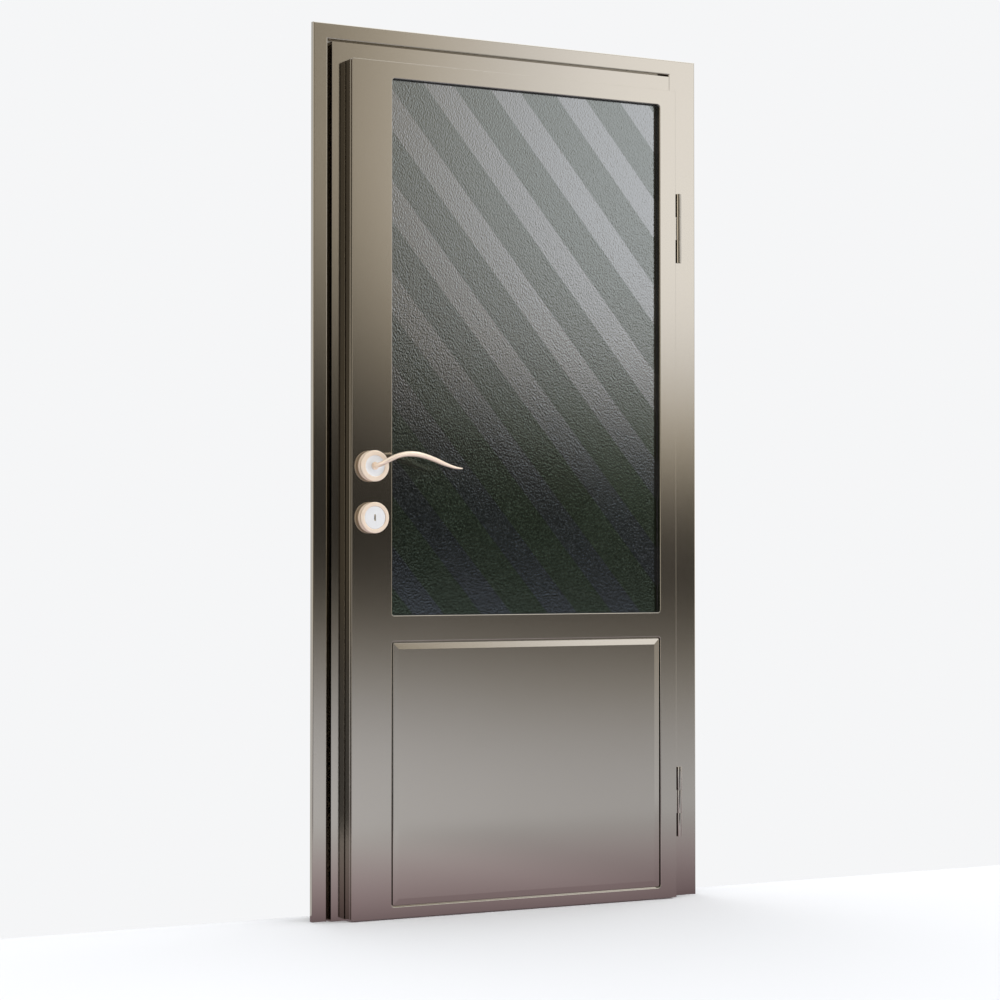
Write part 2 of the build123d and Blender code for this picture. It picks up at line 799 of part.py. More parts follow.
with BuildPart() as forend:
    with BuildSketch(Plane.YZ.offset(body_left)):
        field(lock_y - forend_width / 2, lock_y + forend_width / 2, forend_bottom, forend_top)
        for height in (*screw_heights, cylinder_screw_height):
            with Locations((lock_y, height)):
                Circle(case_screw_radius, mode=Mode.SUBTRACT)
    extrude(amount=forend_thickness)
    with BuildSketch(Plane.YZ.offset(body_left)):
        bolt_windows(bolt_clearance)
    extrude(amount=forend_thickness, mode=Mode.SUBTRACT)
    chamfer(
        forend.faces().sort_by(Axis.X)[0].edges().filter_by(GeomType.CIRCLE),
        forend_thickness - countersink_land,
    )
finish(forend, "forend")


def countersunk_screw(height, length):
    """A screw through the forend: half its section, turned about its axis; its head is flush with the plate."""
    start = (body_left, lock_y, height)
    shank = case_screw_radius - screw_clearance
    head = shank + forend_thickness - countersink_land
    with BuildPart() as screw:
        with BuildSketch(Plane(origin=start, x_dir=(0, 0, 1), z_dir=(0, 1, 0))):
            Polygon((0, 0), (head, 0), (shank, head - shank), (shank, length), (0, length), align=None)
        revolve(axis=Axis(start, (1, 0, 0)))
    return screw.part


with BuildPart() as forend_screws:
    for height in screw_heights:
        add(countersunk_screw(height, forend_screw_length))
finish(forend_screws, "forend_screws")

with BuildPart() as cylinder_screw:
    add(countersunk_screw(cylinder_screw_height, handle_x - body_left + cylinder_screw_reach))
finish(cylinder_screw, "cylinder_screw")

# Latch bolt: a bevelled head, a thinner tail and the lug that the follower's arm draws back
with BuildPart() as latch_bolt:
    with BuildSketch(Plane.XY.offset(latch_bottom)):
        with BuildLine():
            Polyline(
                (latch_nose, bolt_low),
                (latch_nose + latch_head_length, bolt_low),
                (latch_nose + latch_head_length, bolt_high),
                (latch_nose + latch_bevel, bolt_high),
                (latch_nose, bolt_low + latch_tip),
                close=True,
            )
        make_face()
    extrude(amount=latch_height)
    tail_height = latch_height / 3
    lug_foot = handle_height + follower_radius + lug_clearance
    with BuildSketch(Plane.YZ.offset(latch_nose + latch_head_length)):
        field(lock_y + latch_plane_gap, bolt_high, latch_bottom + tail_height, latch_top - tail_height)
    extrude(amount=latch_tail_length)
    with BuildSketch(Plane.YZ.offset(latch_nose + latch_head_length + latch_tail_length)):
        field(lock_y + latch_plane_gap, bolt_high, lug_foot, latch_top - tail_height)
    extrude(amount=-latch_lug)
finish(latch_bolt, "latch_bolt")

# Follower: a disc on two journals, square-bored for the spindle, with the arm that works the latch
with BuildPart() as follower:
    with BuildSketch(front_plane(case_rear)):
        with Locations((handle_x, handle_height)):
            Circle(follower_journal)
    extrude(amount=case_thickness)
    with BuildSketch(front_plane(case_rear - case_wall - follower_gap)):
        with Locations((handle_x, handle_height)):
            Circle(follower_radius)
    extrude(amount=case_thickness - 2 * case_wall - 2 * follower_gap)
    with BuildSketch(front_plane(lock_y - latch_plane_gap)):
        with Locations((handle_x, handle_height + follower_arm / 2)):
            SlotOverall(follower_arm, 2 * follower_journal / 3, rotation=90)
    extrude(amount=case_thickness / 2 - case_wall - follower_gap - latch_plane_gap)
    with BuildSketch(front_plane(case_rear)):
        with Locations((handle_x, handle_height)):
            Rectangle(spindle_side + 2 * spindle_clearance, spindle_side + 2 * spindle_clearance)
    extrude(amount=case_thickness, mode=Mode.SUBTRACT)
finish(follower, "follower")

# Cylinder: two halves of a profile body joined by a bridge under the geared cam
cylinder_front = leaf_front - rose_seat + cylinder_setback
plug_front = leaf_front - rose_seat - key_disc_clearance
cylinder_back = leaf_back + backplate_depth + cylinder_setback
plug_back = cylinder_back + cylinder_setback
gear_front = lock_y - gear_width / 2
gear_back = lock_y + gear_width / 2

with BuildPart() as cylinder_body:
    with BuildSketch(front_plane(cylinder_back)):
        cylinder_outline(0)
    extrude(amount=cylinder_back - cylinder_front)
    with BuildSketch(front_plane(cylinder_back)):
        with Locations((handle_x, key_height)):
            Circle(plug_radius + running_clearance)
    extrude(amount=cylinder_back - cylinder_front, mode=Mode.SUBTRACT)
    with BuildSketch(front_plane(gear_back + follower_gap)):
        field(
            handle_x - 2 * cylinder_radius,
            handle_x + 2 * cylinder_radius,
            key_height - cylinder_drop + cylinder_bridge,
            key_height + 2 * cylinder_radius,
        )
    extrude(amount=gear_width + 2 * follower_gap, mode=Mode.SUBTRACT)
    with BuildSketch(Plane.YZ.offset(handle_x - cylinder_web_width / 2)):
        with Locations((lock_y, cylinder_screw_height)):
            Circle(case_screw_radius)
    extrude(amount=cylinder_web_width, mode=Mode.SUBTRACT)
finish(cylinder_body, "cylinder_body")

with BuildPart() as plug_outside:
    with BuildSketch(front_plane(gear_front)):
        with Locations((handle_x, key_height)):
            Circle(plug_radius)
    extrude(amount=gear_front - plug_front)
    with BuildSketch(front_plane(plug_front + keyway_depth)):
        with Locations((handle_x, key_height)):
            Rectangle(keyway_width, keyway_height)
    extrude(amount=keyway_depth, mode=Mode.SUBTRACT)
finish(plug_outside, "plug_outside")

with BuildPart() as plug_inside:
    with BuildSketch(front_plane(plug_back)):
        with Locations((handle_x, key_height)):
            Circle(plug_radius)
    extrude(amount=plug_back - gear_back)
finish(plug_inside, "plug_inside")

# Geared cam: straight-flanked teeth narrowed for play, one of them upright under the deadbolt's rack
gear_tip = gear_pitch_radius + gear_addendum
gear_root = gear_pitch_radius - gear_dedendum
tooth_at_pitch = pi * gear_module / 2 - gear_play
tooth_at_tip = tooth_at_pitch - tooth_tip_narrowing
tooth_at_root = tooth_at_pitch + tooth_root_widening

with BuildPart() as cam_gear:
    with BuildSketch(front_plane(gear_back)):
        with Locations((handle_x, key_height)):
            Circle(gear_root)
            with PolarLocations(0, gear_teeth, start_angle=90):
                Polygon(
                    (0, -tooth_at_root / 2),
                    (gear_root, -tooth_at_root / 2),
                    (gear_pitch_radius, -tooth_at_pitch / 2),
                    (gear_tip, -tooth_at_tip / 2),
                    (gear_tip, tooth_at_tip / 2),
                    (gear_pitch_radius, tooth_at_pitch / 2),
                    (gear_root, tooth_at_root / 2),
                    (0, tooth_at_root / 2),
                    align=None,
                )
    extrude(amount=gear_width)
finish(cam_gear, "cam_gear")

# Deadbolt: a flat bolt with a rack cut along the lower edge of its tail
rack_pitch = pi * gear_module
rack_tip = rack_line - rack_addendum
rack_tooth_at_line = rack_pitch / 2 - gear_play
flank_lean = tan(radians(rack_flank_angle))
rack_first = handle_x - rack_pitch / 2

with BuildPart() as deadbolt:
    with BuildSketch(front_plane(bolt_high)):
        field(body_left, case_right - case_wall - deadbolt_tail_gap, rack_root, deadbolt_top)
        for tooth in range(rack_teeth):
            middle = rack_first + tooth * rack_pitch
            half_root = rack_tooth_at_line / 2 + flank_lean * (rack_root - rack_line)
            half_tip = rack_tooth_at_line / 2 - flank_lean * rack_addendum
            Polygon(
                (middle - half_root, rack_root),
                (middle - half_tip, rack_tip),
                (middle + half_tip, rack_tip),
                (middle + half_root, rack_root),
                align=None,
            )
    extrude(amount=bolt_thickness)
    fillet(deadbolt.faces().sort_by(Axis.X)[0].edges().filter_by(Axis.Z), deadbolt_nose)
finish(deadbolt, "deadbolt")


# Roses: turned rings with a back flange, a waist and a rounded front rim, hollow behind a ledge for the disc
def rose_ring(height, disc_radius):
    """A turned rose on the outside face; its ledge takes a disc."""
    centre = (handle_x, leaf_front, height)
    corners = [
        (disc_radius - rose_ledge, 0.0),
        (rose_flange_radius, 0.0),
        (rose_flange_radius, -rose_flange_depth),
        (rose_waist_radius, -rose_waist_start),
        (rose_waist_radius, -rose_waist_end),
        (rose_radius, -rose_head_start),
        (rose_radius, -rose_depth),
        (disc_radius + rose_rim, -rose_depth),
        (disc_radius, -rose_depth + rose_disc_recess),
        (disc_radius, -rose_seat),
        (disc_radius - rose_ledge, -rose_seat),
    ]
    rounding = [0.0, 0.6, 1.8, 1.2, 1.2, 1.8, 2.2, 1.0, 0.3, 0.0, 0.0]
    with BuildPart() as ring:
        with BuildSketch(Plane(origin=centre)):
            with BuildLine():
                FilletPolyline(*corners, radius=rounding, close=True)
            make_face()
        revolve(axis=Axis(centre, (0, 1, 0)))
    return ring.part


def disc_face(height, radius, bore):
    """A thin turned disc with a softly dished front and a bore at its middle."""
    centre = (handle_x, leaf_front, height)
    back = -rose_seat - key_disc_clearance
    rim = back - rose_disc_thickness
    with BuildPart() as disc:
        with BuildSketch(Plane(origin=centre)):
            with BuildLine():
                Line((bore, back), (radius, back))
                Line((radius, back), (radius, rim))
                ThreePointArc((radius, rim), ((radius + bore) / 2, rim + disc_dish), (bore, rim))
                Line((bore, rim), (bore, back))
            make_face()
        revolve(axis=Axis(centre, (0, 1, 0)))
    return disc.part


with BuildPart() as handle_rose_outside:
    add(rose_ring(handle_height, rose_disc_radius))
finish(handle_rose_outside, "handle_rose_outside")

with BuildPart() as key_rose_outside:
    add(rose_ring(key_height, key_disc_radius))
finish(key_rose_outside, "key_rose_outside")

# Spring cassette: a cast base inside the handle rose that carries the lever's shank and the disc
with BuildPart() as spring_cassette:
    with BuildSketch(front_plane(leaf_front)):
        with Locations((handle_x, handle_height)):
            Circle(rose_disc_radius - rose_ledge - shank_clearance)
            Circle(lever_shank_radius + shank_clearance, mode=Mode.SUBTRACT)
    extrude(amount=rose_seat + key_disc_clearance)
    with BuildSketch(front_plane(leaf_front - cassette_floor)):
        with Locations((handle_x, handle_height)):
            Circle(rose_disc_radius - rose_ledge - shank_clearance - cassette_wall)
            Circle(lever_shank_radius + shank_clearance + cassette_wall, mode=Mode.SUBTRACT)
    extrude(amount=rose_seat + key_disc_clearance - cassette_floor, mode=Mode.SUBTRACT)
finish(spring_cassette, "spring_cassette")

with BuildPart() as handle_disc:
    add(disc_face(handle_height, rose_disc_radius - disc_rim_gap, lever_shank_radius + shank_clearance))
finish(handle_disc, "handle_disc")

with BuildPart() as keyhole_disc:
    with BuildSketch(front_plane(plug_front)):
        with Locations((handle_x, key_height)):
            Circle(key_disc_radius - key_disc_clearance)
            RectangleRounded(key_slot_width, key_slot_height, key_slot_width / 4, mode=Mode.SUBTRACT)
    extrude(amount=rose_disc_thickness)
    fillet(keyhole_disc.faces().sort_by(Axis.Y)[0].outer_wire().edges(), disc_edge)
finish(keyhole_disc, "keyhole_disc")

# Inside backplate: one plate behind the inside lever and the thumbturn
with BuildPart() as inside_backplate:
    with BuildSketch(front_plane(leaf_back + backplate_depth)):
        with Locations((handle_x, (handle_height + key_height) / 2)):
            RectangleRounded(backplate_width, key_drop + 2 * backplate_end, backplate_width / 4)
    extrude(amount=backplate_depth)
    fillet(inside_backplate.faces().sort_by(Axis.Y)[-1].edges(), backplate_edge)
    with BuildSketch(front_plane(leaf_back + backplate_depth)):
        with Locations((handle_x, handle_height)):
            Circle(lever_shank_radius + shank_clearance)
        cylinder_outline(shank_clearance)
    extrude(amount=backplate_depth, mode=Mode.SUBTRACT)
finish(inside_backplate, "inside_backplate")

# Thumbturn: a flared grip on a round collar, inside only
with BuildPart() as thumbturn:
    with BuildSketch(front_plane(plug_back + turn_collar)):
        with Locations((handle_x, key_height)):
            Circle(turn_width / 2)
    extrude(amount=turn_collar)
    with BuildSketch(front_plane(plug_back + turn_reach)):
        with Locations((handle_x, key_height)):
            SlotOverall(turn_height, turn_thickness, rotation=90)
    with BuildSketch(front_plane(plug_back + turn_collar)):
        with Locations((handle_x, key_height)):
            SlotOverall(turn_root_height, turn_root_thickness, rotation=90)
    loft()
    fillet(thumbturn.faces().sort_by(Axis.Y)[-1].edges(), turn_edge)
finish(thumbturn, "thumbturn")

# Lever: a round shank, then a bar that leans out of the rose, rises, rolls over and runs out to a thin tip
grip_y = leaf_front - lever_reach
lever_points = [
    (0.0, leaf_front - rose_seat, 0.0),
    (0.0, leaf_front - rose_depth - 4.0, 0.0),
    (16.0, grip_y + 3.5, 11.3),
    (35.0, grip_y, 20.6),
    (76.0, grip_y, 27.6),
    (117.0, grip_y, 21.0),
    (159.0, grip_y, 6.5),
    (190.0, grip_y, -2.3),
    (207.0, grip_y, -4.0),
]
lever_sections = [
    (0.0, 7.0, 7.0),
    (0.08, 5.6, 5.6),
    (0.16, 5.6, 5.5),
    (0.25, 5.9, 5.8),
    (0.35, 6.2, 6.0),
    (0.45, 6.4, 6.3),
    (0.56, 6.2, 6.1),
    (0.67, 5.6, 5.7),
    (0.78, 4.8, 4.9),
    (0.88, 3.8, 3.6),
    (0.95, 2.7, 2.5),
    (1.0, 1.4, 1.3),
]

with BuildPart() as lever_outside:
    with BuildLine() as lever_path:
        Spline(*[(handle_x + x, y, handle_height + z) for x, y, z in lever_points])
    line = lever_path.edge()
    for share, half_depth, half_height in lever_sections:
        along = line % share
        across = along.cross(Vector(0, 0, 1)).normalized()
        with BuildSketch(Plane(origin=line @ share, x_dir=across, z_dir=along)):
            Ellipse(half_depth, half_height)
    loft()
    with BuildSketch(front_plane(leaf_front)):
        with Locations((handle_x, handle_height)):
            Circle(lever_shank_radius)
    extrude(amount=rose_seat + key_disc_clearance + rose_disc_thickness + shank_proud)
    with BuildSketch(front_plane(leaf_front)):
        with Locations((handle_x, handle_height)):
            Rectangle(spindle_side + 2 * spindle_clearance, spindle_side + 2 * spindle_clearance)
    extrude(amount=rose_seat, mode=Mode.SUBTRACT)
finish(lever_outside, "lever_outside")

with BuildPart() as lever_inside:
    mirror(lever_outside.part, about=hand_planes)
finish(lever_inside, "lever_inside")

with BuildPart() as spindle:
    with BuildSketch(front_plane(leaf_back + rose_seat - spindle_end_gap)):
        with Locations((handle_x, handle_height)):
            Rectangle(spindle_side, spindle_side)
    extrude(amount=leaf_back - leaf_front + 2 * rose_seat - 2 * spindle_end_gap)
finish(spindle, "spindle")

# Strike plate on the lock jamb, slotted for both bolts
with BuildPart() as strike_plate:
    with BuildSketch(Plane.YZ.offset(jamb_inner)):
        field(lock_y - strike_width / 2, lock_y + strike_width / 2, strike_bottom, strike_top, strike_corner)
        slot_front = bolt_low - strike_slot_margin
        slot_rear = bolt_high + strike_slot_margin
        for low, high in strike_slots:
            field(slot_front, slot_rear, low, high, strike_slot_corner, Mode.SUBTRACT)
        for height in strike_holes:
            with Locations((lock_y, height)):
                Circle(strike_screw_radius, mode=Mode.SUBTRACT)
    extrude(amount=strike_thickness)
finish(strike_plate, "strike_plate")

with BuildPart() as strike_screws:
    with BuildSketch(Plane.YZ.offset(jamb_inner + strike_thickness)):
        with Locations(*[(lock_y, height) for height in strike_holes]):
            Circle(strike_screw_head_radius)
    extrude(amount=strike_head)
    with BuildSketch(Plane.YZ.offset(jamb_inner + strike_thickness)):
        with Locations(*[(lock_y, height) for height in strike_holes]):
            Circle(strike_screw_radius - screw_clearance)
    extrude(amount=-strike_screw_length)
finish(strike_screws, "strike_screws")


# Hinges: three knuckles on one pin; the middle knuckle is the leaf's
def knuckle(bottom, height):
    """A faintly barrelled knuckle, bored for the pin."""
    with BuildPart() as barrel:
        with BuildSketch(Plane(origin=(pivot_x, pivot_y, bottom), x_dir=(1, 0, 0), z_dir=(0, -1, 0))):
            with BuildLine():
                end_radius = knuckle_radius - knuckle_crown
                bore = hinge_pin_radius + running_clearance
                Line((bore, 0), (end_radius, 0))
                ThreePointArc((end_radius, 0), (knuckle_radius, height / 2), (end_radius, height))
                Line((end_radius, height), (bore, height))
                Line((bore, height), (bore, 0))
            make_face()
        revolve(axis=Axis((pivot_x, pivot_y, bottom), (0, 0, 1)))
    return barrel.part


frame_plate_x = (hinge_jamb_edge + hinge_casing_edge) / 2 - hinge_plate_offset
plate_front = pivot_y + knuckle_radius + knuckle_neck
plate_rear = groove_depth - hinge_plate_seat_gap
web_end = pivot_x - hinge_pin_radius - knuckle_root

for hinge_name, hinge_bottom in (("lower", lower_hinge_height), ("upper", leaf_top - upper_hinge_drop)):
    levels = [hinge_bottom + step * knuckle_height for step in range(4)]
    middle_low = levels[1] + knuckle_gap
    middle_high = levels[2] - knuckle_gap
    with BuildPart() as frame_half:
        with BuildSketch(Plane.XY.offset(levels[0])):
            field(frame_plate_x - hinge_plate / 2, frame_plate_x + hinge_plate / 2, plate_front, plate_rear)
        extrude(amount=3 * knuckle_height)
        for low, high in ((levels[0], levels[1]), (levels[2], levels[3])):
            with BuildSketch(Plane.XY.offset(low)):
                field(frame_plate_x - hinge_plate / 2, frame_plate_x + hinge_plate / 2, pivot_y, plate_front)
            extrude(amount=high - low)
            add(knuckle(low, high - low))
    finish(frame_half, f"{hinge_name}_hinge_frame_half")
    with BuildPart() as leaf_half:
        with BuildSketch(Plane.XY.offset(middle_low)):
            field(leaf_right, leaf_right + hinge_plate, pivot_y - hinge_plate / 2, flange_back - leaf_plate_setback)
            field(leaf_right, web_end, pivot_y - hinge_plate / 2, pivot_y + hinge_plate / 2)
        extrude(amount=middle_high - middle_low)
        add(knuckle(middle_low, middle_high - middle_low))
    finish(leaf_half, f"{hinge_name}_hinge_leaf_half")
    with BuildPart() as hinge_pin:
        with BuildSketch(Plane.XY.offset(levels[0] + pin_inset)):
            with Locations((pivot_x, pivot_y)):
                Circle(hinge_pin_radius)
        extrude(amount=3 * knuckle_height - 2 * pin_inset)
    finish(hinge_pin, f"{hinge_name}_hinge_pin")
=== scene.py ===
import json
import math

import bmesh
import bpy
from mathutils import Matrix, Vector

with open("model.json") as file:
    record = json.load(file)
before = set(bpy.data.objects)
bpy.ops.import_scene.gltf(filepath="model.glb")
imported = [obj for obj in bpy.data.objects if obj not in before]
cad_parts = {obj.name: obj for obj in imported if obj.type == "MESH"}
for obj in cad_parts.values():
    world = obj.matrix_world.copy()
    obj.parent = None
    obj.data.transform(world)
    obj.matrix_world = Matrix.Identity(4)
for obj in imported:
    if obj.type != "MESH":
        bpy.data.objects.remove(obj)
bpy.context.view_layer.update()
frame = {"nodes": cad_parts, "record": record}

# A glazed entrance door in its bronze metal frame.
# Metres; X to the right, Y into the wall, Z up from the floor.
nodes = frame["nodes"]

# Camera, solved from the door's own edges; angles in degrees, lens in millimetres
CAMERA_PLACE = (-2.964, -5.374, 0.837)
CAMERA_YAW = 28.67
CAMERA_PITCH = 1.261
FOCAL_LENGTH = 92.2
SENSOR_WIDTH = 36.0


def make_camera():
    """The photograph's viewpoint: left of the door, just under the middle of its height."""
    lens = bpy.data.cameras.new("camera")
    lens.lens = FOCAL_LENGTH
    lens.sensor_width = SENSOR_WIDTH
    camera = bpy.data.objects.new("camera", lens)
    bpy.context.scene.collection.objects.link(camera)
    yaw = Matrix.Rotation(math.radians(-CAMERA_YAW), 4, "Z")
    pitch = Matrix.Rotation(math.radians(90 + CAMERA_PITCH), 4, "X")
    camera.matrix_world = Matrix.Translation(CAMERA_PLACE) @ yaw @ pitch
    bpy.context.scene.camera = camera


# Shader maths
class Value:
    """One output of a shader node. An expression on values adds the Math nodes it needs."""

    def __init__(self, tree, socket):
        self.tree = tree
        self.socket = socket

    def maths(self, operation, *others):
        node = self.tree.nodes.new("ShaderNodeMath")
        node.operation = operation
        for place, item in enumerate((self, *others)):
            if isinstance(item, Value):
                self.tree.links.new(item.socket, node.inputs[place])
            else:
                node.inputs[place].default_value = item
        return Value(self.tree, node.outputs[0])

    def __add__(self, other):
        return self.maths("ADD", other)

    __radd__ = __add__

    def __mul__(self, other):
        return self.maths("MULTIPLY", other)

    def __sub__(self, other):
        return self.maths("SUBTRACT", other)

    def __rsub__(self, other):
        return (self * -1.0).maths("ADD", other)

    def __truediv__(self, other):
        return self.maths("DIVIDE", other)

    def __lt__(self, other):
        return self.maths("LESS_THAN", other)

    def __abs__(self):
        return self.maths("ABSOLUTE")

    def power(self, other):
        return self.maths("POWER", other)

    def between(self, low, high):
        """0 below low, 1 above high, smooth between them."""
        node = self.tree.nodes.new("ShaderNodeMapRange")
        node.interpolation_type = "SMOOTHSTEP"
        node.inputs["From Min"].default_value = low
        node.inputs["From Max"].default_value = high
        self.tree.links.new(self.socket, node.inputs["Value"])
        return Value(self.tree, node.outputs["Result"])

    def share(self, low, high):
        """0 below low, 1 above high, straight between them."""
        return ((self - low) * (1.0 / (high - low))).maths("MAXIMUM", 0.0).maths("MINIMUM", 1.0)


class Graph:
    """A node tree under way: its nodes are added by type, settings and sockets."""

    def __init__(self, tree):
        self.tree = tree

    def node(self, kind, settings=None, output=0, **inputs):
        """Adds a node; an input is a socket's name, or _ and its number where names repeat."""
        made = self.tree.nodes.new(kind)
        for key, setting in (settings or {}).items():
            setattr(made, key, setting)
        for key, item in inputs.items():
            place = int(key[1:]) if key[0] == "_" else key.replace("_", " ")
            self.feed(made.inputs[place], item)
        return Value(self.tree, made.outputs[output])

    def feed(self, socket, item):
        if isinstance(item, Value):
            self.tree.links.new(item.socket, socket)
        elif isinstance(item, tuple) and len(item) == 3 and socket.type == "RGBA":
            socket.default_value = (*item, 1.0)
        else:
            socket.default_value = item

    def place(self):
        return self.node("ShaderNodeTexCoord", output="Object")

    def axis(self, vector, which):
        return self.node("ShaderNodeSeparateXYZ", output=which, Vector=vector)

    def stretched(self, vector, scale, turn=(0.0, 0.0, 0.0)):
        return self.node("ShaderNodeMapping", Vector=vector, Scale=scale, Rotation=turn)

    def noise(self, vector, scale, detail=2.0, roughness=0.5, distortion=0.0):
        return self.node(
            "ShaderNodeTexNoise",
            Vector=vector, Scale=scale, Detail=detail, Roughness=roughness, Distortion=distortion,
        )

    def cloud(self, place, scale):
        """Slow cloudiness of a worn surface, about 0 to 1."""
        return self.noise(place, scale, detail=3.0, roughness=0.6)

    def mixed(self, share, first, second):
        return self.node(
            "ShaderNodeMix", {"data_type": "RGBA"}, output=2, _0=share, _6=first, _7=second,
        )

    def bump(self, height, distance, strength=1.0):
        return self.node("ShaderNodeBump", Height=height, Distance=distance, Strength=strength)


class Finish(Graph):
    """A material under way."""

    def __init__(self, name):
        self.material = bpy.data.materials.new(name)
        self.material.use_nodes = True
        super().__init__(self.material.node_tree)
        self.shader = self.tree.nodes["Principled BSDF"]

    def surface(self, **inputs):
        """Sets the shader's own sockets."""
        for key, item in inputs.items():
            self.feed(self.shader.inputs[key.replace("_", " ")], item)


def satin_bronze():
    """Champagne bronze lacquer on sheet metal: a fine grain and a faint cloud in the gloss."""
    finish = Finish("satin_bronze")
    place = finish.place()
    grain = finish.noise(place, scale=1100.0, detail=1.0)
    cloud = finish.cloud(place, scale=3.0)
    finish.surface(
        Base_Color=finish.mixed(cloud, (0.350, 0.324, 0.278), (0.372, 0.346, 0.302)),
        Metallic=1.0,
        Roughness=0.06 + grain * 0.03 + cloud * 0.02,
        Normal=finish.bump(grain, distance=0.00003, strength=0.5),
    )
    return finish.material


def rose_gold():
    """Satin rose gold plating, with faint level hairlines."""
    finish = Finish("rose_gold")
    place = finish.place()
    marks = finish.noise(finish.stretched(place, (1.0, 1.0, 12.0)), scale=420.0)
    cloud = finish.cloud(place, scale=60.0)
    finish.surface(
        Base_Color=finish.mixed(cloud, (0.96, 0.79, 0.63), (0.99, 0.86, 0.72)),
        Metallic=0.75,
        Roughness=0.34 + marks * 0.08 + cloud * 0.05,
        Normal=finish.bump(marks, distance=0.00002, strength=0.3),
    )
    return finish.material


def bright_disc():
    """Satin silver with a fine even grain."""
    finish = Finish("bright_disc")
    place = finish.place()
    cloud = finish.cloud(place, scale=80.0)
    grain = finish.noise(place, scale=900.0, detail=1.0)
    finish.surface(
        Base_Color=finish.mixed(cloud, (0.86, 0.88, 0.90), (0.92, 0.93, 0.94)),
        Metallic=0.6,
        Roughness=0.44 + grain * 0.1,
        Normal=finish.bump(grain, distance=0.00002, strength=0.3),
    )
    return finish.material


def plain_metal(name, low, high, roughness, along, scale):
    """Bare metal with a rolled or brushed grain along one direction."""
    finish = Finish(name)
    place = finish.place()
    brush = finish.noise(finish.stretched(place, along), scale, detail=3.0, roughness=0.6)
    cloud = finish.cloud(place, scale=18.0)
    finish.surface(
        Base_Color=finish.mixed(cloud, low, high),
        Metallic=1.0,
        Roughness=roughness - 0.06 + brush * 0.12 + cloud * 0.06,
        Normal=finish.bump(brush, distance=0.00004, strength=0.4),
    )
    return finish.material


def galvanised():
    """Zinc spangle: flat crystals of slightly different greys."""
    finish = Finish("galvanised")
    place = finish.place()
    spangle = finish.node("ShaderNodeTexVoronoi", output="Color", Vector=place, Scale=120.0)
    shade = finish.axis(spangle, "X")
    finish.surface(
        Base_Color=finish.mixed(shade, (0.42, 0.44, 0.46), (0.58, 0.60, 0.61)),
        Metallic=1.0,
        Roughness=0.38 + shade * 0.14,
        Normal=finish.bump(shade, distance=0.00003, strength=0.3),
    )
    return finish.material


def rubber():
    """Black gasket rubber with a fine matt grain."""
    finish = Finish("rubber")
    place = finish.place()
    grain = finish.noise(place, scale=700.0, detail=3.0)
    finish.surface(
        Base_Color=finish.mixed(grain, (0.010, 0.010, 0.011), (0.022, 0.021, 0.021)),
        Roughness=0.55 + grain * 0.2,
        Normal=finish.bump(grain, distance=0.00008, strength=0.5),
    )
    return finish.material


def moulded(name, low, high, roughness):
    """Moulded or foamed plastic with a fine skin texture."""
    finish = Finish(name)
    place = finish.place()
    grain = finish.noise(place, scale=260.0, detail=4.0, roughness=0.65)
    finish.surface(
        Base_Color=finish.mixed(grain, low, high),
        Roughness=roughness + grain * 0.1,
        Normal=finish.bump(grain, distance=0.0001, strength=0.5),
    )
    return finish.material


# Slanting bands on the glass: fall over run, pitch along X, the light bands' share of the pitch,
# a gap's middle at floor height, and half of a band's soft edge as a share of the pitch
BAND_SLOPE = 1.18
BAND_PITCH = 0.180
BAND_SHARE = 0.45
BAND_START = 0.086
BAND_SOFTNESS = 0.012
# Its pebbling: depth, scale, how long the pebbles are and how they lean
PEBBLE_DEPTH = 0.00025
PEBBLE_SCALE = 310.0
PEBBLE_STRETCH = (1.0, 1.0, 0.62)
PEBBLE_TURN = (0.0, math.radians(-38.0), 0.0)
# How far the pane's face leans forward over its height
PANE_LEAN = math.radians(0.2)
# Painted shade: the glass is darker below the first height and lighter above the second; each
# tone is for the gaps and for the bands
PAINTED_SHADE_HEIGHTS = (0.90, 1.38)
PAINTED_SHADE_TONES = ((0.068, 0.090, 0.070), (0.104, 0.122, 0.140))
HIGH_TONES = ((0.170, 0.183, 0.178), (0.232, 0.240, 0.243))


def patterned_glass():
    """Dark pebbled glass under a metallic film: lighter, smoother bands between greener gaps."""
    finish = Finish("patterned_glass")
    place = finish.place()
    x = finish.axis(place, "X")
    z = finish.axis(place, "Z")
    across = (x + z * (1.0 / BAND_SLOPE) - BAND_START) / BAND_PITCH
    saw = abs(across.maths("FRACT") - 0.5)
    band = 1.0 - saw.between(BAND_SHARE / 2 - BAND_SOFTNESS, BAND_SHARE / 2 + BAND_SOFTNESS)
    along = finish.stretched(place, PEBBLE_STRETCH, PEBBLE_TURN)
    pebble = finish.noise(along, PEBBLE_SCALE, detail=1.0, distortion=0.4) - 0.5
    fine = finish.noise(place, scale=560.0, detail=1.0)
    # Painted shade: the lower tones darken the glass towards the bottom of the pane
    painted_shade_tone = finish.mixed(band, *PAINTED_SHADE_TONES)
    high_tone = finish.mixed(band, *HIGH_TONES)
    lean = z * (math.tan(PANE_LEAN) / PEBBLE_DEPTH)
    height = (pebble + fine * 0.1) * (1.0 - band * 0.25) + lean
    finish.surface(
        Base_Color=finish.mixed(z.between(*PAINTED_SHADE_HEIGHTS), painted_shade_tone, high_tone),
        Metallic=1.0,
        Roughness=0.07 + fine * 0.05 - band * 0.02,
        Normal=finish.bump(height, PEBBLE_DEPTH),
    )
    return finish.material


def clear_glass():
    """The inner pane, with a very faint wave."""
    finish = Finish("clear_glass")
    place = finish.place()
    wave = finish.noise(place, scale=6.0, detail=1.0)
    finish.surface(
        Base_Color=(0.80, 0.88, 0.85),
        Roughness=0.02 + wave * 0.02,
        IOR=1.5,
        Transmission_Weight=1.0,
        Normal=finish.bump(wave, distance=0.0002, strength=0.1),
    )
    return finish.material


